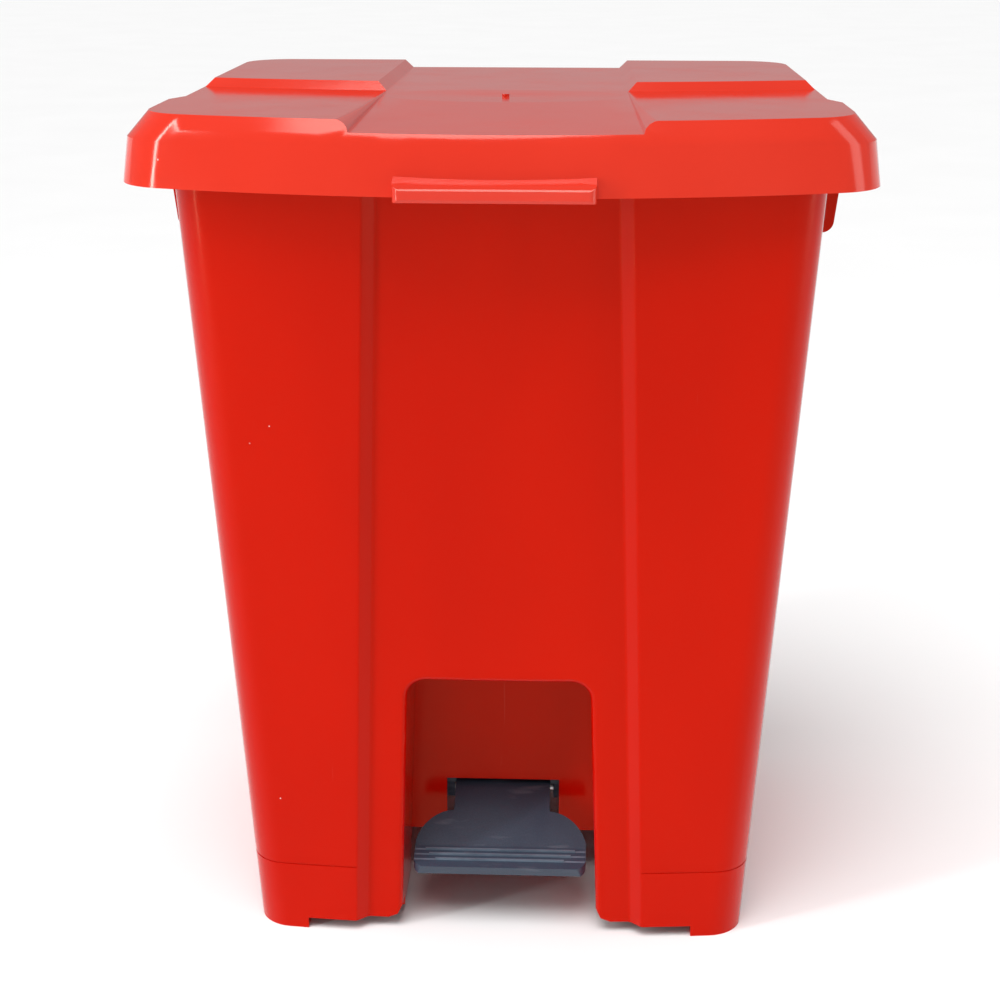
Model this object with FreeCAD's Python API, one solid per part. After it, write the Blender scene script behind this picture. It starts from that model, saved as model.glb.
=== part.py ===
import FreeCAD, Part
import os
from math import sqrt, sin, cos, radians, hypot

# Pedal waste bin. Millimetres, +Z up, front faces -Y, origin on the floor under the middle.

V = FreeCAD.Vector
X_AXIS = V(1, 0, 0)
Z_AXIS = V(0, 0, 1)

# ---- driving dimensions ----
WALL = 3.0                # moulded wall thickness
FAR = 300.0               # farther out than any part of the bin

BODY_TOP = 574.0          # top of the rim
BODY_HALF_WIDTH = 177.9   # at the floor
BODY_FRONT = -137.0       # pilaster faces on the middle line, at the floor
BODY_REAR = 174.0         # rear wall, at the floor
SIDE_DRAFT = 0.0585       # how much each wall leans out per millimetre of height
FRONT_DRAFT = 0.058
REAR_DRAFT = 0.013
BODY_BOW = 1500.0         # plan radius of the bowed front
BODY_CORNER = 27.0

PANEL_DEPTH = 8.0         # sunken middle panel of the front
PANEL_HALF_BOTTOM = 96.0
PANEL_HALF_TOP = 76.0
RIDGE_RUN = 9.0           # width of the slanted step beside the panel
RIDGE_SOFT = 4.0

FOOT_HEIGHT = 8.5
FOOT_SIZE = 38.0
FOOT_SOLE = 3.0           # plate that closes the underside of each foot
FLOOR_UNDERSIDE = 45.0
BASE_LINE = 54.0          # height of the fine line round the base
BASE_LINE_DEPTH = 0.5
BASE_LINE_WIDTH = 1.2

RECESS_TOP = 203.0
RECESS_HALF_TOP = 64.5
RECESS_HALF_BOTTOM = 71.5
RECESS_BACK = -56.0       # front face of the recess's back wall
RECESS_CORNER = 14.5
RECESS_MOUTH = 4.0        # rounding round the mouth
MOUTH_CORNER = 10.0       # size of the trimmed corner at each side of the mouth's foot
MOUTH_CORNER_DEPTH = 20.0
SLOT_HALF = 42.5
SLOT_TOP = 87.0

TUNNEL_HALF = 54.0        # raised housing over the pedal mechanism, inside sizes
TUNNEL_TOP = 106.0
CHANNEL_HALF = 26.5       # vertical channel for the push rod, inside sizes
CHANNEL_FRONT = 153.0
CHANNEL_CORNER = 6.0

RIM_OUT = 8.0
RIM_THICK = 4.0
HANDLE_OUT = 228.5        # outer face of a carrying handle, at its top
HANDLE_LEAN = 4.5         # its lower edge is this much farther in
HANDLE_HALF = 60.0
HANDLE_TOP = 545.0
HANDLE_BOTTOM = 505.0
HANDLE_CORNER = 8.0

LID_BOTTOM = 548.0        # lower edge of the skirt
LID_SHOULDER = 577.0
LID_DECK = 593.0
LID_PAD = 599.0
LID_HALF_WIDTH = 243.0
LID_FRONT = -202.0
LID_REAR = 198.0
LID_BOW = 700.0
LID_CORNER = 42.0
SKIRT_FLARE = 4.0         # the skirt leans in this much at the sides
BEVEL_RUN = 14.0         # and the bevel above it this much more
FRONT_LEAN = 0.7         # share of that lean at the front
REAR_LEAN = 0.35         # and at the rear
SIDE_STEP = 7.5           # the lid is this much narrower behind SIDE_STEP_Y
SIDE_STEP_Y = -58.0
PAD_WALL_Y = -7.0         # foot of the rear pads' front wall, on the middle line
PAD_WALL_BOW = 900.0
PAD_RUN = 6.5
PAD_INNER_FRONT = 84.5
PAD_INNER_BACK = 82.0
BAND_HALF_FRONT = 91.0
BAND_FRONT_Z = 584.5
BAND_SLOPE_RUN = 13.0
BAND_CUT_OVER = 0.4       # how far the cut runs out above the deck
BAND_SHOULDER_ANGLES = (0, 22, 44, 66, 90)  # points along the band's rounded shoulders
GRIP_HALF = 62.0
GRIP_PROUD = 8.0

HINGE_Y = 202.0
HINGE_Z = 550.0
KNUCKLE_R = 8.0
HINGE_PIN_R = 3.0
HINGE_X = 130.0           # middle of each hinge
EAR_THICK = 8.0
KNUCKLE_HALF = 12.0
HINGE_GAP = 0.4
HINGE_SPAN = KNUCKLE_HALF + HINGE_GAP + EAR_THICK
CLIP_THICK = 1.2          # push-on washers at the ends of the pins
SCREW_R = 1.5
RUNNING_GAP = 0.06        # radial clearance of a pin in its bore

LIFT_RADIUS = 40.0
LIFT_ANGLE = radians(40)  # the lift pin starts this far below the hinge's level
LIFT_PIN_R = 2.5
PLATE_HALF = 5.0          # half thickness of the rod's end plates

PIVOT_Y = -24.5
PIVOT_Z = 66.0
AXLE_R = 4.0

TREAD_HALF = 63.0
TREAD_CORNER = 13.0
STEM_HALF = 35.75
WING_HALF = 46.0
ARM_X0 = -11.5            # the lever bar's two faces
ARM_X1 = -6.5
ARM_HALF = 7.0
TONGUE_THICK = 6.0
BOLT_R = 2.5
PEDAL_THICK = 4.5
ROD_R = 4.0
SOCKET_R = 6.0            # sockets at both ends of the rod
SOCKET_LENGTH = 22.0
SLOT_HALF_Z = 3.8         # half height of the slots, more than the pins need
HEAD_SLOT_HALF_Y = 7.8
FOOT_SLOT_HALF_Y = 4.6
PLATE_HALF_Z = 8.0
CHEEK_IN = SOCKET_R + 0.8  # the lift bracket's cheeks
CHEEK_OUT = CHEEK_IN + 2.5
BRACKET_TOP = LID_DECK - 12.0
GUIDE_ZS = (200.0, 420.0)  # middle of each rod guide
GUIDE_HEIGHT = 18.0
GUIDE_SCREW_X = 14.0
BEARING_X = WING_HALF + 1.0  # inner face of each axle bearing cheek
BEARING_THICK = 3.0
BEARING_SCREW_YS = (PIVOT_Y - 9.0, PIVOT_Y + 9.0)
BEARING_SCREW_X = WING_HALF - 5.0

# ---- worked-out places ----
LIFT_PIN_Y = HINGE_Y - LIFT_RADIUS * cos(LIFT_ANGLE)
LIFT_PIN_Z = HINGE_Z - LIFT_RADIUS * sin(LIFT_ANGLE)
ROD_Y = (LIFT_PIN_Y + HINGE_Y - LIFT_RADIUS) / 2
ROD_TRAVEL = 2 * LIFT_RADIUS * sin(LIFT_ANGLE)
ARM_PIN_Z = PIVOT_Z - ROD_TRAVEL / 2
ARM_BOLT_YS = (PIVOT_Y + 24, PIVOT_Y + 40)


# ---- helpers ----
def box(x0, x1, y0, y1, z0, z1):
    return Part.makeBox(x1 - x0, y1 - y0, z1 - z0, V(x0, y0, z0))


def rod_x(radius, x0, x1, y, z):
    return Part.makeCylinder(radius, x1 - x0, V(x0, y, z), X_AXIS)


def rod_y(radius, y0, y1, x, z):
    return Part.makeCylinder(radius, y1 - y0, V(x, y0, z), V(0, 1, 0))


def rod_z(radius, z0, z1, x, y):
    return Part.makeCylinder(radius, z1 - z0, V(x, y, z0), Z_AXIS)


def line(a, b):
    return Part.LineSegment(a, b).toShape()


def arc(a, b, c):
    return Part.Arc(a, b, c).toShape()


def polygon_prism(points, direction):
    wire = Part.makePolygon(points + [points[0]])
    return Part.Face(wire).extrude(direction)


def bowed(x, front, bow):
    """Y of a front that bows towards -Y with plan radius bow."""
    return front + bow - sqrt(bow * bow - x * x)


def loft(lower, upper):
    return Part.makeLoft([lower, upper], True, True)


def fuse(first, others):
    return first.multiFuse(others).removeSplitter()


def mirrored(shape):
    return shape.mirror(V(0, 0, 0), X_AXIS)


def soften(shape, radius, choose):
    """Round the edges that choose(edge) picks."""
    edges = [edge for edge in shape.Edges if choose(edge)]
    return shape.makeFillet(radius, edges)


def right_side_path(z, half, front, rear, bow, corner, step, step_y):
    """Edges from the front's right end round to the rear's right end, counter-clockwise."""
    slope_x = half - corner
    slope = slope_x / sqrt(bow * bow - slope_x * slope_x)
    length = hypot(1, slope)
    start = V(half - corner + corner * slope / length, 0, z)
    start.y = bowed(start.x, front, bow)
    middle_y = start.y + corner / length
    centre = V(half - corner, middle_y, z)
    away = V(1 + slope / length, -1 / length, 0)
    half_way = centre + away.normalize() * corner
    side_front = V(half, middle_y, z)
    step_run = 10.0
    rear_half = half - step
    knee = V(half, step_y - step_run, z)
    heel = V(rear_half, step_y + step_run, z)
    side_rear = V(rear_half, rear - corner, z)
    rear_mid = V(rear_half - corner * (1 - cos(radians(45))), rear - corner * (1 - sin(radians(45))), z)
    rear_end = V(rear_half - corner, rear, z)
    edges = [arc(start, half_way, side_front)]
    if step:
        edges += [line(side_front, knee), line(knee, heel), line(heel, side_rear)]
    else:
        edges += [line(side_front, side_rear)]
    edges += [arc(side_rear, rear_mid, rear_end)]
    return start, rear_end, edges


def outline(z, half, front, rear, bow, corner, step=0.0, step_y=0.0):
    """Closed plan outline: bowed front, straight sides and rear, rounded corners."""
    start, rear_end, right = right_side_path(z, half, front, rear, bow, corner, step, step_y)
    left = [edge.mirror(V(0, 0, 0), X_AXIS) for edge in right]
    front_edge = arc(V(-start.x, start.y, z), V(0, front, z), start)
    rear_edge = line(rear_end, V(-rear_end.x, rear_end.y, z))
    return Part.Wire([front_edge] + right + [rear_edge] + left[::-1])


# ---- body shell ----
def body_outline(z, inset):
    return outline(z,
                   BODY_HALF_WIDTH + SIDE_DRAFT * z - inset,
                   BODY_FRONT - FRONT_DRAFT * z + inset,
                   BODY_REAR + REAR_DRAFT * z - inset,
                   BODY_BOW, BODY_CORNER - inset)


def body_block(z0, z1, inset):
    return loft(body_outline(z0, inset), body_outline(z1, inset))


def panel_half(z):
    return PANEL_HALF_BOTTOM + (PANEL_HALF_TOP - PANEL_HALF_BOTTOM) * z / BODY_TOP


def panel_front(z):
    return BODY_FRONT - FRONT_DRAFT * z + PANEL_DEPTH


def panel_cutter(grow):
    """Takes the middle of the front back by PANEL_DEPTH + grow, with slanted steps."""
    wires = []
    for z in (-5.0, BODY_TOP + 5.0):
        half = panel_half(z) + grow * 0.6
        edge_y = bowed(half, panel_front(z) + grow, BODY_BOW)
        run = 2 * RIDGE_RUN
        front_y = edge_y - 2 * PANEL_DEPTH
        inner = V(half, edge_y, z)
        outer = V(half + run, front_y, z)
        wires.append(Part.Wire([
            arc(V(-half, edge_y, z), V(0, panel_front(z) + grow, z), inner),
            line(inner, outer),
            line(outer, V(-outer.x, outer.y, z)),
            line(V(-outer.x, outer.y, z), V(-half, edge_y, z)),
        ]))
    return loft(wires[0], wires[1])


def vertical_in_front(edge):
    """True for the two ridges' outer edges on the front."""
    bounds = edge.BoundBox
    tall = bounds.ZLength > BODY_TOP * 0.8
    in_front = bounds.YMax < BODY_FRONT + PANEL_DEPTH + BODY_CORNER / 2
    near_panel = max(abs(bounds.XMin), abs(bounds.XMax)) < PANEL_HALF_BOTTOM + 3 * RIDGE_RUN
    return tall and in_front and near_panel


def mouth_edge(edge):
    """True for the edges round the recess's mouth."""
    bounds = edge.BoundBox
    across = bounds.XMax < RECESS_HALF_BOTTOM + 1 and bounds.XMin > -RECESS_HALF_BOTTOM - 1
    return across and bounds.YMax < BODY_FRONT + PANEL_DEPTH + 10 and 1 < bounds.ZMax < RECESS_TOP + 1


def recess_block(grow):
    """Pedal recess: slanted sides and rounded upper corners. grow makes the wall round it."""
    top = RECESS_TOP + grow
    half_top = RECESS_HALF_TOP + grow
    half_bottom = RECESS_HALF_BOTTOM + grow
    radius = RECESS_CORNER + grow
    bend = radius * (1 - cos(radians(45)))
    front = BODY_FRONT - 60.0
    edges = [
        line(V(-half_bottom, front, -5), V(half_bottom, front, -5)),
        line(V(half_bottom, front, -5), V(half_top, front, top - radius)),
        arc(V(half_top, front, top - radius), V(half_top - bend, front, top - bend),
            V(half_top - radius, front, top)),
        line(V(half_top - radius, front, top), V(-half_top + radius, front, top)),
        arc(V(-half_top + radius, front, top), V(-half_top + bend, front, top - bend),
            V(-half_top, front, top - radius)),
        line(V(-half_top, front, top - radius), V(-half_bottom, front, -5)),
    ]
    depth = RECESS_BACK + grow - front
    return Part.Face(Part.Wire(edges)).extrude(V(0, depth, 0))


def mouth_corner():
    """Slanted cut that trims the front wall's lower corner at the right of the recess."""
    front = BODY_FRONT - 60.0
    top = FOOT_HEIGHT + MOUTH_CORNER
    inside = RECESS_HALF_BOTTOM - 4.0
    corners = [V(inside, front, -5), V(RECESS_HALF_BOTTOM + MOUTH_CORNER, front, -5),
               V(RECESS_HALF_BOTTOM + MOUTH_CORNER, front, FOOT_HEIGHT),
               V(RECESS_HALF_BOTTOM + MOUTH_CORNER * 0.3, front, FOOT_HEIGHT + MOUTH_CORNER * 0.3),
               V(RECESS_HALF_BOTTOM - 0.5, front, top), V(inside, front, top)]
    return polygon_prism(corners, V(0, BODY_FRONT + PANEL_DEPTH + MOUTH_CORNER_DEPTH - front, 0))


def tunnel_block(grow):
    return box(-TUNNEL_HALF - grow, TUNNEL_HALF + grow, RECESS_BACK + WALL, CHANNEL_FRONT + grow / 2,
               FLOOR_UNDERSIDE - 1, TUNNEL_TOP + grow)


def channel_block(grow):
    block = box(-CHANNEL_HALF - grow, CHANNEL_HALF + grow, CHANNEL_FRONT - grow, BODY_REAR + 60,
                -5, BODY_TOP + 5)

    def front_corner(edge):
        bounds = edge.BoundBox
        return bounds.ZLength > BODY_TOP and bounds.YMax < CHANNEL_FRONT + 1
    return soften(block, CHANNEL_CORNER + grow / 2, front_corner)


def base_line_ring():
    z0 = BASE_LINE - BASE_LINE_WIDTH / 2
    z1 = BASE_LINE + BASE_LINE_WIDTH / 2
    ring = body_block(z0, z1, -20).cut(body_block(z0 - 1, z1 + 1, BASE_LINE_DEPTH))
    return ring.cut(panel_cutter(0).common(box(-200, 200, -400, 0, 0, 100)))


def foot_boxes(z0, z1):
    """Boxes round the four corner feet, from z0 up to z1."""
    inner_x = BODY_HALF_WIDTH - FOOT_SIZE
    boxes = []
    for y0, y1 in ((-FAR, BODY_FRONT + PANEL_DEPTH + FOOT_SIZE), (BODY_REAR - FOOT_SIZE, FAR)):
        boxes.append(box(inner_x, FAR, y0, y1, z0, z1))
        boxes.append(box(-FAR, -inner_x, y0, y1, z0, z1))
    return boxes


def feet_cut():
    """Everything below the skirt's lower edge except the four corner feet."""
    return box(-FAR, FAR, -FAR, FAR, -5, FOOT_HEIGHT).cut(foot_boxes(-6, FOOT_HEIGHT + 1))


def rim():
    """Flange that turns out under the lid."""
    z0 = BODY_TOP - 8.0
    return body_block(z0, z0 + RIM_THICK, -RIM_OUT)


def handle_block(inset, bottom):
    """Solid handle with its outer, upper and end faces pulled in by inset."""
    wall_x = BODY_HALF_WIDTH + SIDE_DRAFT * HANDLE_BOTTOM - 2
    out_x = HANDLE_OUT - inset
    top = HANDLE_TOP - inset
    lean = HANDLE_LEAN * (top - bottom) / (HANDLE_TOP - HANDLE_BOTTOM)
    y0 = -HANDLE_HALF + inset
    section = [V(wall_x, y0, bottom), V(out_x - lean, y0, bottom), V(out_x, y0, top), V(wall_x, y0, top)]
    return polygon_prism(section, V(0, 2 * HANDLE_HALF - 2 * inset, 0))


def handle():
    """Right carrying handle: a pocket under the lid's edge, open below for the fingers."""
    block = handle_block(0, HANDLE_BOTTOM)

    def lower_outer(edge):
        bounds = edge.BoundBox
        along = bounds.YLength > HANDLE_HALF and bounds.XMin > HANDLE_OUT - 10
        return along and bounds.ZMax < HANDLE_BOTTOM + 1
    return soften(block, HANDLE_CORNER, lower_outer).cut(handle_block(WALL, HANDLE_BOTTOM - 5))


def ear(x0):
    """Hinge ear on the rear wall, EAR_THICK wide."""
    wall_y = BODY_REAR + REAR_DRAFT * HINGE_Z - 2
    arm_top = HINGE_Z - 4
    barrel = rod_x(KNUCKLE_R, x0, x0 + EAR_THICK, HINGE_Y, HINGE_Z)
    arm = polygon_prism([V(x0, wall_y, arm_top), V(x0, HINGE_Y, arm_top), V(x0, HINGE_Y + 5, HINGE_Z - 6),
                         V(x0, wall_y, HINGE_Z - 42)], V(EAR_THICK, 0, 0))
    bore = rod_x(HINGE_PIN_R, x0 - 1, x0 + EAR_THICK + 1, HINGE_Y, HINGE_Z)
    return barrel.fuse(arm).cut(bore)


def ear_starts():
    """X of the four ears' lower faces."""
    inner = HINGE_X - KNUCKLE_HALF - HINGE_GAP - EAR_THICK
    outer = HINGE_X + KNUCKLE_HALF + HINGE_GAP
    return [inner, outer, -inner - EAR_THICK, -outer - EAR_THICK]


def body_shell():
    outer = body_block(0, BODY_TOP, 0).cut(panel_cutter(0))
    outer = soften(outer, RIDGE_SOFT, vertical_in_front)
    outer = outer.cut(recess_block(0))
    outer = soften(outer, RECESS_MOUTH, mouth_edge)
    outer = fuse(outer, [rim(), handle(), mirrored(handle())])
    cavity = body_block(FLOOR_UNDERSIDE + WALL, BODY_TOP + 2, WALL).cut(panel_cutter(WALL))
    cavity = cavity.cut(recess_block(WALL)).cut(tunnel_block(WALL)).cut(channel_block(WALL))
    under = body_block(-2, FLOOR_UNDERSIDE, WALL).cut(panel_cutter(WALL)).cut(recess_block(WALL))
    under = under.fuse(box(-RECESS_HALF_BOTTOM, RECESS_HALF_BOTTOM, RECESS_BACK - 2, RECESS_BACK + 8,
                           -5, FLOOR_UNDERSIDE))
    under = under.cut(foot_boxes(-5, FOOT_SOLE))
    shell = outer.cut(cavity).cut(under).cut(tunnel_block(0)).cut(channel_block(0))
    window = box(-CHANNEL_HALF, CHANNEL_HALF, CHANNEL_FRONT - 10, BODY_REAR + 60, -5, TUNNEL_TOP)
    slot = box(-SLOT_HALF, SLOT_HALF, RECESS_BACK - 1, RECESS_BACK + WALL + 1,
               FLOOR_UNDERSIDE - 10, SLOT_TOP)
    shell = shell.cut(window).cut(slot).cut(feet_cut()).cut(base_line_ring())
    shell = shell.cut(mouth_corner()).cut(mirrored(mouth_corner()))
    bosses = [rod_z(4.5, TUNNEL_TOP + 1, TUNNEL_TOP + 9, x, y) for x, y in bearing_screw_places()]
    shell = fuse(shell, [ear(x0) for x0 in ear_starts()] + bosses)
    for x, y in bearing_screw_places():
        shell = shell.cut(rod_z(SCREW_R, TUNNEL_TOP - 1, TUNNEL_TOP + 7, x, y))
    for z_mid in GUIDE_ZS:
        for x in (-GUIDE_SCREW_X, GUIDE_SCREW_X):
            shell = shell.cut(rod_y(SCREW_R, CHANNEL_FRONT - WALL - 1, CHANNEL_FRONT + 1, x, z_mid))
    return shell


# ---- lid ----
def lid_outline(z, inset, lean):
    """Lid outline pulled in by inset all round, and by lean at the sides."""
    return outline(z, LID_HALF_WIDTH - inset - lean, LID_FRONT + inset + lean * FRONT_LEAN,
                   LID_REAR - inset - lean * REAR_LEAN, LID_BOW, LID_CORNER - inset - lean / 3,
                   SIDE_STEP, SIDE_STEP_Y)


def rear_pad(drop, shrink):
    """Raised right rear pad, its top lowered by drop and its sides pulled in by shrink."""
    wires = []
    deck_lean = SKIRT_FLARE + BEVEL_RUN
    for z, run in ((LID_DECK - 1.0, -0.7), (LID_PAD, PAD_RUN)):
        pull = run + shrink
        out_x = LID_HALF_WIDTH - SIDE_STEP - deck_lean - pull
        rear_y = LID_REAR - (deck_lean + run) * REAR_LEAN - shrink
        radius = LID_CORNER - (deck_lean + run) / 3 - shrink
        bend = radius * (1 - cos(radians(45)))
        inner_front = PAD_INNER_FRONT + pull
        inner_back = PAD_INNER_BACK + pull
        wall = PAD_WALL_Y + pull
        level = z - drop
        front_in = V(inner_front, bowed(inner_front, wall, PAD_WALL_BOW), level)
        front_out = V(out_x, bowed(out_x, wall, PAD_WALL_BOW), level)
        middle_x = (inner_front + out_x) / 2
        front_mid = V(middle_x, bowed(middle_x, wall, PAD_WALL_BOW), level)
        side_end = V(out_x, rear_y - radius, level)
        rear_start = V(out_x - radius, rear_y, level)
        rear_end = V(inner_back, rear_y, level)
        wires.append(Part.Wire([
            arc(front_in, front_mid, front_out), line(front_out, side_end),
            arc(side_end, V(out_x - bend, rear_y - bend, level), rear_start),
            line(rear_start, rear_end), line(rear_end, front_in)]))
    return loft(wires[0], wires[1])


def band_cutter(drop, shrink):
    """Sinks the middle band towards the front edge."""
    front_y = LID_FRONT - 10
    back_y = PAD_WALL_Y + 6
    wires = []
    for y, half, low, run in ((front_y, BAND_HALF_FRONT, BAND_FRONT_Z, BAND_SLOPE_RUN),
                              (back_y, PAD_INNER_FRONT, LID_DECK, 1.0)):
        low_z = low - drop
        rise = LID_DECK + BAND_CUT_OVER - low
        right = [V(half - shrink + run * (1 - cos(angle)), y, low_z + rise * sin(angle))
                 for angle in (radians(degrees) for degrees in BAND_SHOULDER_ANGLES)]
        left = [V(-point.x, y, point.z) for point in reversed(right)]
        wires.append(Part.makePolygon(right + left + right[:1]))
    return loft(wires[0], wires[1])


def lid_form(inset, bottom):
    """Solid lid shape; inset pulls every face in by the wall thickness."""
    skirt = loft(lid_outline(bottom, inset, 0), lid_outline(LID_SHOULDER, inset, SKIRT_FLARE))
    slope_gain = inset * 0.5
    bevel = loft(lid_outline(LID_SHOULDER, inset, SKIRT_FLARE),
                 lid_outline(LID_DECK - inset, inset - slope_gain, SKIRT_FLARE + BEVEL_RUN))
    pad = rear_pad(inset, inset - slope_gain)
    form = fuse(skirt, [bevel, pad, mirrored(pad)])
    return form.cut(band_cutter(inset, -inset / 2))


def grip():
    """Lip along the middle of the front edge."""
    reach = LID_FRONT - GRIP_PROUD
    back = LID_FRONT + 6
    top = LID_BOTTOM + 7.5
    profile = [V(-GRIP_HALF, back, LID_BOTTOM - 2), V(-GRIP_HALF, reach + 1.5, LID_BOTTOM - 2),
               V(-GRIP_HALF, reach, LID_BOTTOM), V(-GRIP_HALF, reach, top - 2),
               V(-GRIP_HALF, reach + 1.5, top), V(-GRIP_HALF, back, top + 6)]
    lip = polygon_prism(profile, V(2 * GRIP_HALF, 0, 0))

    def outer_end(edge):
        bounds = edge.BoundBox
        return bounds.XLength < 0.1 and bounds.YMax < reach + 0.1
    return soften(lip, 5.0, outer_end)


def knuckle(x_mid):
    """Lid knuckle between two ears, joined to the rear skirt."""
    x0 = x_mid - KNUCKLE_HALF
    barrel = rod_x(KNUCKLE_R, x0, x0 + 2 * KNUCKLE_HALF, HINGE_Y, HINGE_Z)
    block = polygon_prism([V(x0, LID_REAR - 2, HINGE_Z + 22), V(x0, LID_REAR - 2, HINGE_Z - 1),
                           V(x0, HINGE_Y, HINGE_Z - 1), V(x0, HINGE_Y + 7, HINGE_Z + 3)],
                          V(2 * KNUCKLE_HALF, 0, 0))
    return barrel.fuse(block)


def lid():
    shell = lid_form(0, LID_BOTTOM).cut(lid_form(WALL, LID_BOTTOM - 4))
    hinges = (HINGE_X, -HINGE_X)
    for x_mid in hinges:
        reach = HINGE_SPAN + 4.0
        shell = shell.cut(rod_x(KNUCKLE_R + 1.5, x_mid - reach, x_mid + reach, HINGE_Y, HINGE_Z))
    bosses = [rod_z(5, LID_DECK - 12, LID_DECK - 2, x, bracket_hole_y()) for x in bracket_hole_xs()]
    stops = [box(x - 1.5, x + 1.5, y0, y0 + 10, BODY_TOP + 0.5, top - 2)
             for x in (-165, 165) for y0, top in ((-150, LID_DECK), (162, LID_PAD))]
    gate = rod_z(2.5, LID_DECK - 1, LID_DECK + 0.5, 0, -25)
    shell = fuse(shell, [grip(), gate] + [knuckle(x_mid) for x_mid in hinges] + bosses + stops)
    for x_mid in hinges:
        shell = shell.cut(rod_x(HINGE_PIN_R + RUNNING_GAP, x_mid - 20, x_mid + 20, HINGE_Y, HINGE_Z))
    for x in bracket_hole_xs():
        shell = shell.cut(rod_z(1.5, LID_DECK - 13, LID_DECK - 4, x, bracket_hole_y()))
    return shell


def hinge_pin():
    """Right hinge pin through both ears and the knuckle, with a head at its outer end."""
    outer = HINGE_X + HINGE_SPAN
    pin = rod_x(HINGE_PIN_R, HINGE_X - HINGE_SPAN - 4, outer, HINGE_Y, HINGE_Z)
    return pin.fuse(rod_x(5.0, outer, outer + 2, HINGE_Y, HINGE_Z))


def hinge_clip():
    """Push-on washer on the right hinge pin's inner end."""
    inner = HINGE_X - HINGE_SPAN
    washer = rod_x(5.5, inner - CLIP_THICK, inner, HINGE_Y, HINGE_Z)
    return washer.cut(rod_x(HINGE_PIN_R, inner - 3, inner + 1, HINGE_Y, HINGE_Z))


# ---- lift bracket under the lid ----
def bracket_hole_xs():
    return (-20.0, 20.0)


def bracket_hole_y():
    return LIFT_PIN_Y - 3.0


def lift_bracket():
    """Folded steel bracket: a flange on the lid's bosses and two cheeks down to the pin."""
    hole_y = bracket_hole_y()
    flange = box(-27, 27, hole_y - 8, hole_y + 8, BRACKET_TOP - 2.5, BRACKET_TOP)
    parts = []
    for x0 in (CHEEK_IN, -CHEEK_OUT):
        width = CHEEK_OUT - CHEEK_IN
        parts.append(polygon_prism([V(x0, hole_y - 8, BRACKET_TOP - 2), V(x0, hole_y + 8, BRACKET_TOP - 2),
                                    V(x0, LIFT_PIN_Y + 5, LIFT_PIN_Z), V(x0, LIFT_PIN_Y - 5, LIFT_PIN_Z)],
                                   V(width, 0, 0)))
        parts.append(rod_x(5.5, x0, x0 + width, LIFT_PIN_Y, LIFT_PIN_Z))
    bracket = fuse(flange, parts)
    bracket = bracket.cut(rod_x(LIFT_PIN_R, -20, 20, LIFT_PIN_Y, LIFT_PIN_Z))
    for x in bracket_hole_xs():
        bracket = bracket.cut(rod_z(2.0, BRACKET_TOP - 5, BRACKET_TOP + 2, x, hole_y))
    return bracket


def headed_pin(radius, head_radius, x0, x1, y, z):
    """Pin along X with a head at each end, outside x0 and x1."""
    return fuse(rod_x(radius, x0 - 2, x1 + 2, y, z),
                [rod_x(head_radius, x0 - 2, x0 - 0.1, y, z), rod_x(head_radius, x1 + 0.1, x1 + 2, y, z)])


def screw(x, y, z_head, length, head_radius, head_height, shank_radius):
    """Pan head screw along Z, driven upwards: the head's seat is at z_head."""
    shank = rod_z(shank_radius, z_head, z_head + length, x, y)
    head = rod_z(head_radius, z_head - head_height, z_head, x, y)
    recess = rod_z(head_radius * 0.35, z_head - head_height, z_head - head_height * 0.4, x, y)
    return shank.fuse(head).cut(recess)


def bracket_screws():
    return Part.makeCompound([screw(x, bracket_hole_y(), BRACKET_TOP - 2.5, 9.5, 3.8, 2.4, SCREW_R)
                              for x in bracket_hole_xs()])


# ---- push rod ----
def end_plate(z_mid, half_y, half_z):
    """Flat plate on the rod's axis with rounded corners."""
    plate = box(-PLATE_HALF, PLATE_HALF, ROD_Y - half_y, ROD_Y + half_y, z_mid - half_z, z_mid + half_z)

    def corner(edge):
        bounds = edge.BoundBox
        return bounds.XLength > 1 and bounds.YLength < 0.1 and bounds.ZLength < 0.1
    return soften(plate, 4.0, corner)


def rounded_slot(y_mid, z_mid, half_y, half_z):
    middle = box(-10, 10, y_mid - half_y + half_z, y_mid + half_y - half_z, z_mid - half_z, z_mid + half_z)
    ends = [rod_x(half_z, -10, 10, y_mid + side * (half_y - half_z), z_mid) for side in (-1, 1)]
    return fuse(middle, ends)


def rod_head():
    z_mid = LIFT_PIN_Z
    plate = end_plate(z_mid, HEAD_SLOT_HALF_Y + 4.7, PLATE_HALF_Z)
    seam = z_mid - PLATE_HALF_Z
    socket = rod_z(SOCKET_R, seam - SOCKET_LENGTH, seam + 2, 0, ROD_Y)
    socket = socket.cut(rod_z(ROD_R, seam - SOCKET_LENGTH - 1, seam - 2, 0, ROD_Y))
    return fuse(plate, [socket]).cut(rounded_slot(ROD_Y, z_mid, HEAD_SLOT_HALF_Y, SLOT_HALF_Z))


def rod_foot():
    z_mid = ARM_PIN_Z
    plate = end_plate(z_mid, FOOT_SLOT_HALF_Y + 4.4, PLATE_HALF_Z)
    seam = z_mid + PLATE_HALF_Z
    socket = rod_z(SOCKET_R, seam - 2, seam + SOCKET_LENGTH, 0, ROD_Y)
    socket = socket.cut(rod_z(ROD_R, seam + 2, seam + SOCKET_LENGTH + 1, 0, ROD_Y))
    return fuse(plate, [socket]).cut(rounded_slot(ROD_Y, z_mid, FOOT_SLOT_HALF_Y, SLOT_HALF_Z))


def push_rod():
    return rod_z(ROD_R, ARM_PIN_Z + PLATE_HALF_Z + 2, LIFT_PIN_Z - PLATE_HALF_Z - 2, 0, ROD_Y)


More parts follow.
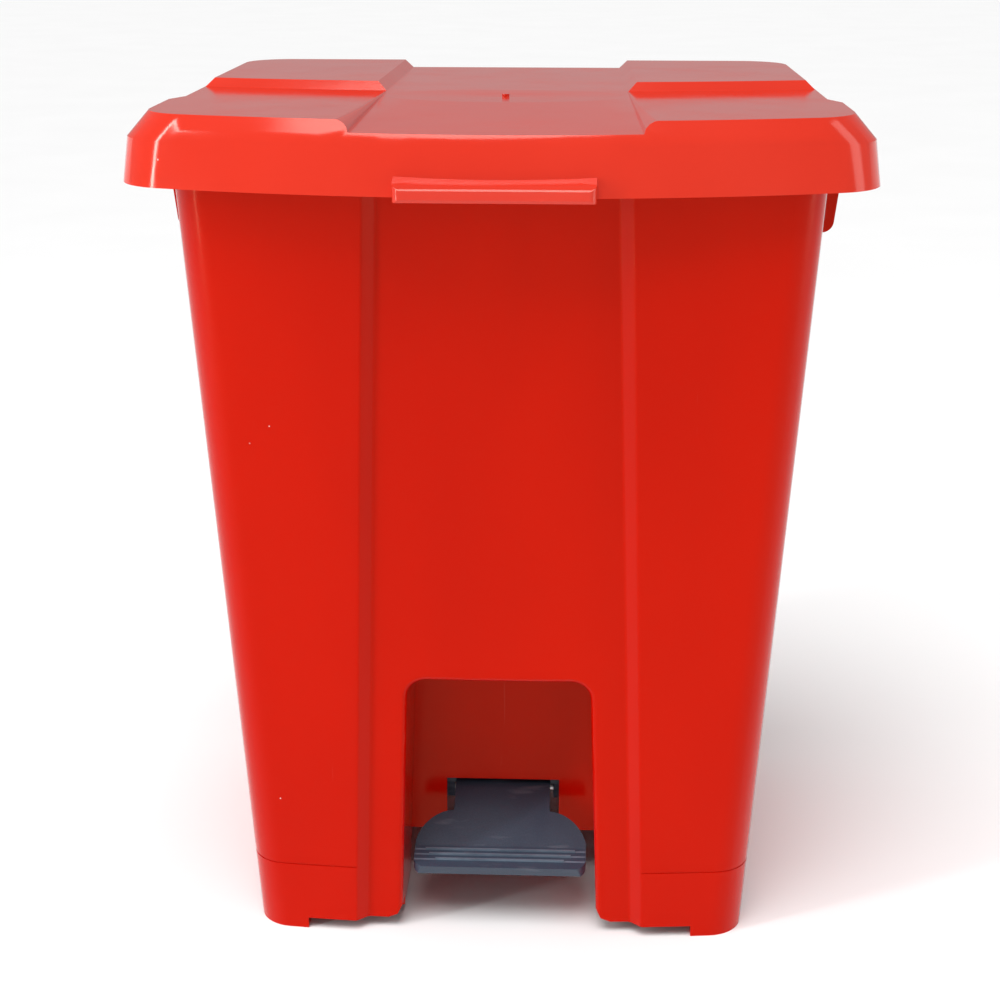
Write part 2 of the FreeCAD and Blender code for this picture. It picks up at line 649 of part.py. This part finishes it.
def rod_guide(z_mid):
    """Moulded block on the channel's floor that the rod slides through."""
    z0 = z_mid - GUIDE_HEIGHT / 2
    plate = box(-20, 20, CHANNEL_FRONT, CHANNEL_FRONT + 3.5, z0, z0 + GUIDE_HEIGHT)
    hub = rod_z(8.5, z0, z0 + GUIDE_HEIGHT, 0, ROD_Y)
    neck = box(-6, 6, CHANNEL_FRONT + 2, ROD_Y, z0, z0 + GUIDE_HEIGHT)
    guide = fuse(plate, [hub, neck]).cut(rod_z(ROD_R + RUNNING_GAP, z0 - 1, z0 + GUIDE_HEIGHT + 1, 0, ROD_Y))
    for x in (-GUIDE_SCREW_X, GUIDE_SCREW_X):
        guide = guide.cut(rod_y(1.9, CHANNEL_FRONT - 1, CHANNEL_FRONT + 5, x, z_mid))
    return guide


def guide_screws():
    """Screws that hold both guides; they bite the channel's floor."""
    screws = []
    for z_mid in GUIDE_ZS:
        for x in (-GUIDE_SCREW_X, GUIDE_SCREW_X):
            seat = CHANNEL_FRONT + 3.5
            shank = rod_y(SCREW_R, CHANNEL_FRONT - WALL, seat, x, z_mid)
            head = rod_y(3.4, seat, seat + 2.2, x, z_mid).cut(rod_y(1.2, seat + 1, seat + 3, x, z_mid))
            screws.append(shank.fuse(head))
    return Part.makeCompound(screws)


# ---- pedal ----
def pedal_top_points():
    """Side view of the top face, from the front lip back to the wings: y and z."""
    return [(-128.5, 51.5), (-102.0, 55.0), (-59.0, 81.0), (-50.0, 83.0), (-9.0, 83.0)]


def pedal_profile():
    top = pedal_top_points()
    under = [(y, z - PEDAL_THICK) for y, z in top]
    under[0] = (-126.0, 44.5)
    points = top + under[::-1]
    return polygon_prism([V(-TREAD_HALF, y, z) for y, z in points], V(2 * TREAD_HALF, 0, 0))


def pedal_plan():
    """Plan outline of tread, bell-shaped shoulders, stem and wings."""
    front = -130.0
    shoulder = -99.0
    neck = -76.0
    wing_y = PIVOT_Y - 21.0
    back = -9.0
    bend = TREAD_CORNER * (1 - cos(radians(45)))
    right = [
        line(V(0, front, 0), V(TREAD_HALF - TREAD_CORNER, front, 0)),
        arc(V(TREAD_HALF - TREAD_CORNER, front, 0), V(TREAD_HALF - bend, front + bend, 0),
            V(TREAD_HALF, front + TREAD_CORNER, 0)),
        line(V(TREAD_HALF, front + TREAD_CORNER, 0), V(TREAD_HALF, shoulder, 0)),
        arc(V(TREAD_HALF, shoulder, 0), V(54.5, -84.5, 0), V(STEM_HALF, neck, 0)),
        line(V(STEM_HALF, neck, 0), V(STEM_HALF, wing_y, 0)),
        line(V(STEM_HALF, wing_y, 0), V(WING_HALF, wing_y, 0)),
        line(V(WING_HALF, wing_y, 0), V(WING_HALF, back, 0)),
        line(V(WING_HALF, back, 0), V(0, back, 0)),
    ]
    left = [edge.mirror(V(0, 0, 0), X_AXIS) for edge in right]
    wire = Part.Wire(right + left[::-1])
    return Part.Face(wire).extrude(V(0, 0, 120))


def tread_rib(index):
    half = (55.0, 52.0, 47.0)[index]
    y = (-107.5, -113.5, -119.5)[index]
    front, crease = pedal_top_points()[:2]
    z = front[1] + (y - front[0]) * (crease[1] - front[1]) / (crease[0] - front[0])
    return box(-half, half, y - 0.8, y + 0.8, z - 1.5, z + 1.2)


def pedal_tongue():
    """Tongue behind the pedal's hub, beside the bar, which the bolts go through."""
    near_y = PIVOT_Y + 15.5
    far_y = PIVOT_Y + 48.0
    corners = [V(ARM_X1, near_y - 5, 81), V(ARM_X1, near_y - 5, PIVOT_Z + 6), V(ARM_X1, near_y, PIVOT_Z - 9),
               V(ARM_X1, far_y, arm_line_z(far_y) - 6), V(ARM_X1, far_y, arm_line_z(far_y) + 6)]
    return polygon_prism(corners, V(TONGUE_THICK, 0, 0))


def pedal():
    plate = pedal_profile().common(pedal_plan())
    ribs = [tread_rib(index) for index in range(3)]
    hub_x = (-WING_HALF, -20.5, 2.0, WING_HALF - 8.0)
    cheeks = []
    for x0 in hub_x:
        cheeks.append(rod_x(9.0, x0, x0 + 8, PIVOT_Y, PIVOT_Z))
        cheeks.append(polygon_prism([V(x0, PIVOT_Y - 9, PIVOT_Z), V(x0, PIVOT_Y + 9, PIVOT_Z),
                                     V(x0, PIVOT_Y + 14, 81), V(x0, PIVOT_Y - 19, 81)], V(8, 0, 0)))
    keels = [polygon_prism([V(x0, -122, 48), V(x0, -100, 52), V(x0, -60, 78), V(x0, -44, 80), V(x0, -34, 72),
                            V(x0, -62, 68), V(x0, -100, 44), V(x0, -120, 43)], V(3, 0, 0))
             for x0 in (-30.0, -1.5, 27.0)]
    clamp = box(-18, 18, PIVOT_Y + 4, PIVOT_Y + 15.5, 76, 82)
    body = fuse(plate, ribs + cheeks + keels + [clamp, pedal_tongue()])
    for y in ARM_BOLT_YS:
        body = body.cut(rod_x(BOLT_R, -20, 20, y, arm_line_z(y)))
    return body.cut(rod_x(AXLE_R + RUNNING_GAP, -60, 60, PIVOT_Y, PIVOT_Z))


def arm_line_z(y):
    slope = (ARM_PIN_Z - PIVOT_Z) / (ROD_Y - PIVOT_Y)
    return PIVOT_Z + slope * (y - PIVOT_Y)


def lever_arm():
    """Steel bar from the pedal axle back to the push rod."""
    z_end = ARM_PIN_Z
    bar = polygon_prism([V(ARM_X0, PIVOT_Y, PIVOT_Z - 9), V(ARM_X0, ROD_Y, z_end - ARM_HALF),
                         V(ARM_X0, ROD_Y, z_end + ARM_HALF), V(ARM_X0, PIVOT_Y, PIVOT_Z + 9)],
                        V(ARM_X1 - ARM_X0, 0, 0))
    ends = [rod_x(9, ARM_X0, ARM_X1, PIVOT_Y, PIVOT_Z), rod_x(ARM_HALF, ARM_X0, ARM_X1, ROD_Y, z_end)]
    bar = fuse(bar, ends)
    bar = bar.cut(rod_x(AXLE_R + RUNNING_GAP, -20, 20, PIVOT_Y, PIVOT_Z))
    bar = bar.cut(rod_x(2.5, -20, 20, ROD_Y, z_end))
    for y in ARM_BOLT_YS:
        bar = bar.cut(rod_x(BOLT_R, -20, 20, y, arm_line_z(y)))
    return bar


def lever_bolts():
    bolts = []
    for y in ARM_BOLT_YS:
        z = arm_line_z(y)
        shank = rod_x(BOLT_R, ARM_X0 - 1, ARM_X1 + TONGUE_THICK + 5, y, z)
        head = rod_x(4.2, ARM_X0 - 3.5, ARM_X0, y, z)
        bolts.append(shank.fuse(head))
    return Part.makeCompound(bolts)


def hex_nut(x0, thickness, across, y, z, bore):
    radius = across / 2 / cos(radians(30))
    points = [V(x0, y + radius * cos(radians(60 * k)), z + radius * sin(radians(60 * k))) for k in range(6)]
    return polygon_prism(points, V(thickness, 0, 0)).cut(rod_x(bore, x0 - 1, x0 + thickness + 1, y, z))


def lever_nuts():
    return Part.makeCompound([hex_nut(ARM_X1 + TONGUE_THICK, 4, 8, y, arm_line_z(y), BOLT_R)
                              for y in ARM_BOLT_YS])


def lever_pin():
    """Pin riveted into the bar's end; it slides in the rod foot's slot."""
    shank = rod_x(2.5, ARM_X0 - 1, PLATE_HALF + 2.5, ROD_Y, ARM_PIN_Z)
    heads = [rod_x(4.5, ARM_X0 - 2, ARM_X0, ROD_Y, ARM_PIN_Z),
             rod_x(4.5, PLATE_HALF + 0.6, PLATE_HALF + 2.5, ROD_Y, ARM_PIN_Z)]
    return fuse(shank, heads)


# ---- axle and its bearings ----
def pedal_axle():
    reach = BEARING_X + BEARING_THICK + 2.8
    return rod_x(AXLE_R, -reach, reach, PIVOT_Y, PIVOT_Z)


def axle_bracket():
    """Right bearing bracket: a cheek for the axle hung from the tunnel's ceiling by a flange."""
    x0 = BEARING_X
    x1 = BEARING_X + BEARING_THICK
    cheek = polygon_prism([V(x0, PIVOT_Y - 9, PIVOT_Z), V(x0, PIVOT_Y + 9, PIVOT_Z),
                           V(x0, PIVOT_Y + 15, TUNNEL_TOP), V(x0, PIVOT_Y - 15, TUNNEL_TOP)],
                          V(BEARING_THICK, 0, 0))
    boss = rod_x(9, x0, x1, PIVOT_Y, PIVOT_Z)
    flange = box(x0 - 13, x1, PIVOT_Y - 15, PIVOT_Y + 15, TUNNEL_TOP - 3, TUNNEL_TOP)
    bracket = fuse(cheek, [boss, flange]).cut(rod_x(AXLE_R, x0 - 1, x1 + 1, PIVOT_Y, PIVOT_Z))
    for y in BEARING_SCREW_YS:
        bracket = bracket.cut(rod_z(1.9, TUNNEL_TOP - 5, TUNNEL_TOP + 1, BEARING_SCREW_X, y))
    return bracket


def bearing_screw_places():
    return [(x, y) for x in (-BEARING_SCREW_X, BEARING_SCREW_X) for y in BEARING_SCREW_YS]


def bearing_screws():
    return Part.makeCompound([screw(x, y, TUNNEL_TOP - 3, 9, 3.4, 2.2, SCREW_R)
                              for x, y in bearing_screw_places()])


def axle_clips():
    """Push-on washers outside the bearing cheeks."""
    x0 = BEARING_X + BEARING_THICK
    clip = rod_x(7.5, x0, x0 + CLIP_THICK, PIVOT_Y, PIVOT_Z)
    clip = clip.cut(rod_x(AXLE_R, x0 - 1, x0 + 3, PIVOT_Y, PIVOT_Z))
    return Part.makeCompound([clip, mirrored(clip)])


def build():
    parts = {
        "body_shell": body_shell(),
        "lid": lid(),
        "hinge_pin_right": hinge_pin(),
        "hinge_pin_left": mirrored(hinge_pin()),
        "hinge_clip_right": hinge_clip(),
        "hinge_clip_left": mirrored(hinge_clip()),
        "lift_bracket": lift_bracket(),
        "lift_pin": headed_pin(LIFT_PIN_R, 4.2, -CHEEK_OUT, CHEEK_OUT, LIFT_PIN_Y, LIFT_PIN_Z),
        "bracket_screws": bracket_screws(),
        "push_rod": push_rod(),
        "rod_head": rod_head(),
        "rod_foot": rod_foot(),
        "rod_guide_lower": rod_guide(GUIDE_ZS[0]),
        "rod_guide_upper": rod_guide(GUIDE_ZS[1]),
        "guide_screws": guide_screws(),
        "pedal": pedal(),
        "lever_arm": lever_arm(),
        "lever_bolts": lever_bolts(),
        "lever_nuts": lever_nuts(),
        "lever_pin": lever_pin(),
        "pedal_axle": pedal_axle(),
        "axle_clips": axle_clips(),
        "axle_bracket_right": axle_bracket(),
        "axle_bracket_left": mirrored(axle_bracket()),
        "bearing_screws": bearing_screws(),
    }
    return parts


os.makedirs("parts", exist_ok=True)
for name, shape in build().items():
    shape.exportStep("parts/" + name + ".step")
    print(name, shape.isValid(), len(shape.Solids), round(shape.Volume), shape.BoundBox)
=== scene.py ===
from math import pi, radians

import bpy
from mathutils import Matrix, Vector


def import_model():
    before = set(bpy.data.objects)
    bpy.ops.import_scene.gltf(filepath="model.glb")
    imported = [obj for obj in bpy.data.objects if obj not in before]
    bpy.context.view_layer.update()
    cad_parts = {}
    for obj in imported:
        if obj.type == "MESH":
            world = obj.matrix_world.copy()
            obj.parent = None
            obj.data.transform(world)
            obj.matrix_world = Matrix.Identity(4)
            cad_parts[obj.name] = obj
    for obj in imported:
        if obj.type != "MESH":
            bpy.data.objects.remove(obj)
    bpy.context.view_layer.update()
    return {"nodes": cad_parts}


# Pedal waste bin: materials, soft edges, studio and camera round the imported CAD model.

# ---- camera ----
CAMERA_PLACE = (0.0500, -1.3236, 0.7197)
CAMERA_PITCH = radians(17.94)     # looking down
CAMERA_YAW = radians(2.37)        # and a little towards -X
CAMERA_ROLL = radians(0.05)
CAMERA_LENS = 66.6                # on a sensor 36 mm wide
SENSOR = 36.0

# ---- colours ----
BODY_GLOSS = (1.0, 0.5, 0.25)
LID_GLOSS = (1.0, 0.72, 0.66)
BODY_RED = (0.54, 0.004, 0.0003)
BODY_RED_DEEP = (0.46, 0.002, 0.0003)
LID_RED = (0.66, 0.03, 0.012)
LID_RED_DEEP = (0.61, 0.023, 0.008)
PEDAL_GREY = (0.036, 0.058, 0.09)
PEDAL_GREY_DARK = (0.025, 0.04, 0.066)
# painted highlight: the lighter colour of the tread's rib tops, standing in for the light they catch
PEDAL_RUBBED = (0.2, 0.22, 0.26)
RIB_PAINTED_HIGHLIGHT = (0.13, 0.17, 0.22)
PART_BLACK = (0.022, 0.022, 0.024)
PART_BLACK_WORN = (0.05, 0.05, 0.055)
ZINC = (0.62, 0.63, 0.65)
ZINC_DARK = (0.42, 0.42, 0.43)
SCUFF = (0.75, 0.35, 0.3)
DUST = (0.85, 0.8, 0.78)
FLOOR_PALE = (0.93, 0.93, 0.93)
FLOOR_PALE_LOW = (0.91, 0.91, 0.91)

# ---- surface, in metres and in features per metre ----
PLASTIC_IOR = 1.5
RED_IOR = 1.49
BODY_SHINE = 0.25                 # specular level, 0.5 being an ordinary plastic
LID_SHINE = 0.6
WAVES = 8.0                       # long waves in the moulded faces
BODY_WAVE_DEPTH = 0.0005
LID_WAVE_DEPTH = 0.0004
FLOW_MARKS = 5.0
SCUFF_LINES = 60.0
SPECK_CELLS = 45.0
SPECK_PATCHES = 14.0
RUBBED_PATCHES = 24.0
MOULD_GRAIN = 1100.0
MOULD_GRAIN_DEPTH = 0.000015
SATIN_GRAIN = 1500.0
SATIN_GRAIN_DEPTH = 0.00006
BLACK_GRAIN = 1800.0
BLACK_GRAIN_DEPTH = 0.00003
DRAWN_LINES = 400.0
DRAWN_DEPTH = 0.00002
FLOOR_GRAIN = 300.0
FLOOR_GRAIN_DEPTH = 0.00005
FLOOR_ROUGHNESS = 0.7
GATE_Y = -0.025                   # moulding gate on the lid, in its shallow dish
DISH_REACH = 0.05
DISH_ALONG_X = 0.6                # below 1 lengthens the dish, above 1 shortens it
DISH_ALONG_Y = 1.6
DISH_DEPTH = 0.0008
RIB_YS = (-0.1075, -0.1135, -0.1195)   # the tread's three ribs
RIB_HALF = 0.0009

# ---- soft edges ----
EDGE_WIDTHS = {"body_shell": 0.0014, "lid": 0.0022, "pedal": 0.0014}
SMALL_EDGE = 0.00035
EDGE_ANGLE = radians(32)
EDGE_STEPS = 3
SEAM_GAP = 0.00001                # vertices nearer than this are joined
SHADING_WEIGHT = 60

# ---- studio ----
FLOOR_SIZE = 60.0
SURROUNDINGS = 0.4                # brightness of the room round the bin
SUN_TILT = (radians(22), radians(-8), 0)
SUN_SPREAD = radians(40)          # a wide ceiling light, so shadows stay soft
SUN_POWER = 2.4
LIGHT_AIM = (0, 0, 0.35)
SOFTBOXES = (                     # name, place, width, height, power in watts
    ("left_strip", (-1.9, -1.3, 0.9), 0.18, 2.4, 28),
    ("right_strip", (2.1, -0.5, 0.9), 0.7, 2.4, 12),
)
FAR_CLIP = 100


# ---- node helpers ----
def new_material(name):
    material = bpy.data.materials.new(name)
    material.use_nodes = True
    tree = material.node_tree
    tree.nodes.clear()
    shader = tree.nodes.new("ShaderNodeBsdfPrincipled")
    output = tree.nodes.new("ShaderNodeOutputMaterial")
    tree.links.new(shader.outputs["BSDF"], output.inputs["Surface"])
    return material, tree, shader


def place(tree, stretch, shift=(0, 0, 0)):
    """The object's own coordinates, in metres, multiplied by stretch and then shifted."""
    coordinates = tree.nodes.new("ShaderNodeTexCoord")
    mapping = tree.nodes.new("ShaderNodeMapping")
    mapping.inputs["Scale"].default_value = stretch
    mapping.inputs["Location"].default_value = shift
    tree.links.new(coordinates.outputs["Object"], mapping.inputs["Vector"])
    return mapping.outputs["Vector"]


def noise(tree, scale, detail=2.0, stretch=(1, 1, 1), roughness=0.5):
    texture = tree.nodes.new("ShaderNodeTexNoise")
    texture.inputs["Scale"].default_value = scale
    texture.inputs["Detail"].default_value = detail
    texture.inputs["Roughness"].default_value = roughness
    tree.links.new(place(tree, stretch), texture.inputs["Vector"])
    return texture.outputs["Fac"]


def spots(tree, scale):
    """Distance to the nearest of many scattered points."""
    texture = tree.nodes.new("ShaderNodeTexVoronoi")
    texture.inputs["Scale"].default_value = scale
    tree.links.new(place(tree, (1, 1, 1)), texture.inputs["Vector"])
    return texture.outputs["Distance"]


def spread(tree, value, low, high, to_low, to_high):
    """Moves the range low..high of value to to_low..to_high, and clamps it."""
    node = tree.nodes.new("ShaderNodeMapRange")
    node.inputs["From Min"].default_value = low
    node.inputs["From Max"].default_value = high
    node.inputs["To Min"].default_value = to_low
    node.inputs["To Max"].default_value = to_high
    tree.links.new(value, node.inputs["Value"])
    return node.outputs["Result"]


def combine(tree, operation, first, second):
    node = tree.nodes.new("ShaderNodeMath")
    node.operation = operation
    for socket, value in zip(node.inputs, (first, second)):
        if isinstance(value, (int, float)):
            socket.default_value = value
        else:
            tree.links.new(value, socket)
    return node.outputs["Value"]


def blend_colour(tree, factor, first, second):
    """Goes from the first colour to the second; either may be a colour or a socket."""
    node = tree.nodes.new("ShaderNodeMix")
    node.data_type = "RGBA"
    tree.links.new(factor, node.inputs["Factor"])
    for socket, value in ((node.inputs[6], first), (node.inputs[7], second)):
        if isinstance(value, tuple):
            socket.default_value = (*value, 1)
        else:
            tree.links.new(value, socket)
    return node.outputs[2]


def bump(tree, height, depth, normal=None):
    """Surface relief, depth metres high."""
    node = tree.nodes.new("ShaderNodeBump")
    node.inputs["Strength"].default_value = 1.0
    node.inputs["Distance"].default_value = depth
    tree.links.new(height, node.inputs["Height"])
    if normal is not None:
        tree.links.new(normal, node.inputs["Normal"])
    return node.outputs["Normal"]


def gate_dish(tree):
    """Shallow oval dish round the lid's gate mark, 0 in its middle and 1 outside."""
    scale = 1 / DISH_REACH
    texture = tree.nodes.new("ShaderNodeTexGradient")
    texture.gradient_type = "SPHERICAL"
    along_y = scale * DISH_ALONG_Y
    where = place(tree, (scale * DISH_ALONG_X, along_y, 0), (0, -GATE_Y * along_y, 0))
    tree.links.new(where, texture.inputs["Vector"])
    return spread(tree, texture.outputs["Fac"], 0, 0.8, 1, 0)


def rib_tops(tree):
    """1 on the tread's ribs and 0 elsewhere."""
    axes = tree.nodes.new("ShaderNodeSeparateXYZ")
    tree.links.new(place(tree, (1, 1, 1)), axes.inputs["Vector"])
    total = 0.0
    for rib_y in RIB_YS:
        node = tree.nodes.new("ShaderNodeMath")
        node.operation = "COMPARE"
        tree.links.new(axes.outputs["Y"], node.inputs[0])
        node.inputs[1].default_value = rib_y
        node.inputs[2].default_value = RIB_HALF
        total = combine(tree, "ADD", node.outputs["Value"], total)
    return total


# ---- materials ----
def red_plastic(name, red, deep, gloss, tint, wave_depth, with_dish=False):
    """Glossy moulded polypropylene with faint flow marks, hairline scuffs and a few specks."""
    material, tree, shader = new_material(name)
    shader.inputs["IOR"].default_value = RED_IOR
    shader.inputs["Specular IOR Level"].default_value = gloss
    shader.inputs["Specular Tint"].default_value = (*tint, 1)
    flow = noise(tree, FLOW_MARKS, 3.0, (1, 1, 0.4))
    colour = blend_colour(tree, spread(tree, flow, 0.3, 0.7, 0, 1), deep, red)
    scuffs = spread(tree, noise(tree, SCUFF_LINES, 4.0, (1, 1, 0.05), 0.7), 0.7, 0.78, 0, 0.1)
    colour = blend_colour(tree, scuffs, colour, SCUFF)
    specks = spread(tree, spots(tree, SPECK_CELLS), 0.028, 0.018, 0, 0.7)
    sparse = spread(tree, noise(tree, SPECK_PATCHES), 0.6, 0.64, 0, 1)
    colour = blend_colour(tree, combine(tree, "MULTIPLY", specks, sparse), colour, DUST)
    tree.links.new(colour, shader.inputs["Base Color"])
    rubbed = spread(tree, noise(tree, RUBBED_PATCHES, 5.0), 0.35, 0.75, 0.1, 0.17)
    tree.links.new(combine(tree, "ADD", rubbed, scuffs), shader.inputs["Roughness"])
    slow = bump(tree, noise(tree, WAVES, 1.0), wave_depth)
    if with_dish:
        slow = bump(tree, gate_dish(tree), DISH_DEPTH, slow)
    fine = bump(tree, noise(tree, MOULD_GRAIN, 2.0), MOULD_GRAIN_DEPTH, slow)
    tree.links.new(fine, shader.inputs["Normal"])
    return material


def grey_plastic(name):
    """Satin plastic of the pedal: spark-eroded grain, rubbed smooth where shoes press, with a painted
    highlight along the tread's rib tops.
    """
    material, tree, shader = new_material(name)
    shader.inputs["IOR"].default_value = PLASTIC_IOR
    worn = spread(tree, noise(tree, 30.0, 4.0), 0.45, 0.7, 0, 1)
    grain = noise(tree, SATIN_GRAIN, 3.0)
    colour = blend_colour(tree, spread(tree, grain, 0.35, 0.65, 0, 1), PEDAL_GREY_DARK, PEDAL_GREY)
    rubbing = spread(tree, noise(tree, 130.0, 4.0, (0.25, 1, 1)), 0.62, 0.75, 0, 0.25)
    colour = blend_colour(tree, rubbing, colour, PEDAL_RUBBED)
    # painted highlight: the rib tops are lightened as if they caught the light
    rib_painted_highlight = combine(tree, "MULTIPLY", rib_tops(tree), spread(tree, noise(tree, 80.0), 0.2, 0.6, 0.5, 1))
    colour = blend_colour(tree, rib_painted_highlight, colour, RIB_PAINTED_HIGHLIGHT)
    tree.links.new(colour, shader.inputs["Base Color"])
    tree.links.new(spread(tree, worn, 0, 1, 0.5, 0.36), shader.inputs["Roughness"])
    tree.links.new(bump(tree, grain, SATIN_GRAIN_DEPTH), shader.inputs["Normal"])
    return material


def dark_plastic(name):
    """Black guide and bearing plastic with a fine grain and polished patches."""
    material, tree, shader = new_material(name)
    shader.inputs["IOR"].default_value = PLASTIC_IOR
    patches = noise(tree, 45.0, 4.0)
    colour = blend_colour(tree, spread(tree, patches, 0.5, 0.75, 0, 1), PART_BLACK, PART_BLACK_WORN)
    tree.links.new(colour, shader.inputs["Base Color"])
    tree.links.new(spread(tree, patches, 0.3, 0.7, 0.48, 0.32), shader.inputs["Roughness"])
    tree.links.new(bump(tree, noise(tree, BLACK_GRAIN, 2.0), BLACK_GRAIN_DEPTH), shader.inputs["Normal"])
    return material


def zinc_steel(name, stretch):
    """Zinc-plated steel, drawn or rolled along one axis, with dull patches."""
    material, tree, shader = new_material(name)
    shader.inputs["Metallic"].default_value = 1.0
    lines = noise(tree, DRAWN_LINES, 3.0, stretch)
    dull = spread(tree, noise(tree, 60.0, 4.0), 0.5, 0.75, 0, 1)
    colour = blend_colour(tree, dull, ZINC, ZINC_DARK)
    tree.links.new(colour, shader.inputs["Base Color"])
    shine = spread(tree, lines, 0.3, 0.7, 0.22, 0.36)
    tree.links.new(combine(tree, "ADD", shine, combine(tree, "MULTIPLY", dull, 0.12)),
                   shader.inputs["Roughness"])
    tree.links.new(bump(tree, lines, DRAWN_DEPTH), shader.inputs["Normal"])
    return material


def floor_material():
    material, tree, shader = new_material("studio_floor")
    shader.inputs["Roughness"].default_value = FLOOR_ROUGHNESS
    mottle = spread(tree, noise(tree, 3.0, 4.0), 0.3, 0.7, 0, 1)
    tree.links.new(blend_colour(tree, mottle, FLOOR_PALE_LOW, FLOOR_PALE), shader.inputs["Base Color"])
    tree.links.new(bump(tree, noise(tree, FLOOR_GRAIN), FLOOR_GRAIN_DEPTH), shader.inputs["Normal"])
    return material


def materials_by_node():
    upright = zinc_steel("zinc_rod", (1, 1, 0.03))
    crosswise = zinc_steel("zinc_pin", (0.03, 1, 1))
    flat = zinc_steel("zinc_sheet", (1, 0.05, 1))
    black = dark_plastic("black_plastic")
    chosen = {
        "body_shell": red_plastic("red_body_plastic", BODY_RED, BODY_RED_DEEP, BODY_SHINE,
                                  BODY_GLOSS, BODY_WAVE_DEPTH),
        "lid": red_plastic("red_lid_plastic", LID_RED, LID_RED_DEEP, LID_SHINE,
                           LID_GLOSS, LID_WAVE_DEPTH, with_dish=True),
        "pedal": grey_plastic("grey_pedal_plastic"),
        "push_rod": upright,
        "lift_bracket": flat,
        "lever_arm": flat,
    }
    for node in ("rod_head", "rod_foot", "rod_guide_lower", "rod_guide_upper",
                 "axle_bracket_left", "axle_bracket_right"):
        chosen[node] = black
    return chosen, crosswise


# ---- dressing the CAD nodes ----
def dress(obj, material):
    obj.data.materials.clear()
    obj.data.materials.append(material)


def soft_edges(obj, width):
    """Rounds the hard edges a little, as a mould or a tumbled part has them."""
    weld = obj.modifiers.new("join_seams", "WELD")
    weld.merge_threshold = SEAM_GAP
    bevel = obj.modifiers.new("soft_edges", "BEVEL")
    bevel.width = width
    bevel.segments = EDGE_STEPS
    bevel.limit_method = "ANGLE"
    bevel.angle_limit = EDGE_ANGLE
    bevel.harden_normals = False
    normals = obj.modifiers.new("even_shading", "WEIGHTED_NORMAL")
    normals.weight = SHADING_WEIGHT
    normals.keep_sharp = False


def dress_nodes():
    chosen, other = materials_by_node()
    for name in frame["nodes"]:
        obj = bpy.data.objects[name]
        dress(obj, chosen.get(name, other))
        soft_edges(obj, EDGE_WIDTHS.get(name, SMALL_EDGE))


# ---- studio ----
def floor():
    bpy.ops.mesh.primitive_plane_add(size=FLOOR_SIZE, location=(0, 0, 0))
    plane = bpy.context.object
    plane.name = "floor"
    plane.data.materials.append(floor_material())


def world():
    scene_world = bpy.data.worlds.new("studio")
    scene_world.use_nodes = True
    background = scene_world.node_tree.nodes["Background"]
    background.inputs["Color"].default_value = (1, 1, 1, 1)
    background.inputs["Strength"].default_value = SURROUNDINGS
    bpy.context.scene.world = scene_world


def ceiling():
    """Even light from above, a little from the front and left."""
    light = bpy.data.lights.new("ceiling", "SUN")
    light.energy = SUN_POWER
    light.angle = SUN_SPREAD
    obj = bpy.data.objects.new("ceiling", light)
    obj.rotation_euler = SUN_TILT
    bpy.context.scene.collection.objects.link(obj)


def softbox(name, position, width, height, power):
    light = bpy.data.lights.new(name, "AREA")
    light.shape = "RECTANGLE"
    light.size = width
    light.size_y = height
    light.energy = power
    obj = bpy.data.objects.new(name, light)
    obj.location = position
    direction = Vector(LIGHT_AIM) - Vector(position)
    obj.rotation_euler = direction.to_track_quat("-Z", "Y").to_euler()
    bpy.context.scene.collection.objects.link(obj)


def lights():
    ceiling()
    for settings in SOFTBOXES:
        softbox(*settings)


def camera():
    lens = bpy.data.cameras.new("photo_camera")
    lens.lens = CAMERA_LENS
    lens.sensor_width = SENSOR
    lens.clip_end = FAR_CLIP
    obj = bpy.data.objects.new("photo_camera", lens)
    turn = Matrix.Rotation(CAMERA_YAW, 4, "Z")
    tilt = Matrix.Rotation(pi / 2 - CAMERA_PITCH, 4, "X")
    roll = Matrix.Rotation(CAMERA_ROLL, 4, "Z")
    obj.matrix_world = Matrix.Translation(CAMERA_PLACE) @ turn @ tilt @ roll
    bpy.context.scene.collection.objects.link(obj)
    bpy.context.scene.camera = obj


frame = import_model()
bpy.context.scene.view_settings.view_transform = "Standard"
dress_nodes()
floor()
world()
lights()
camera()
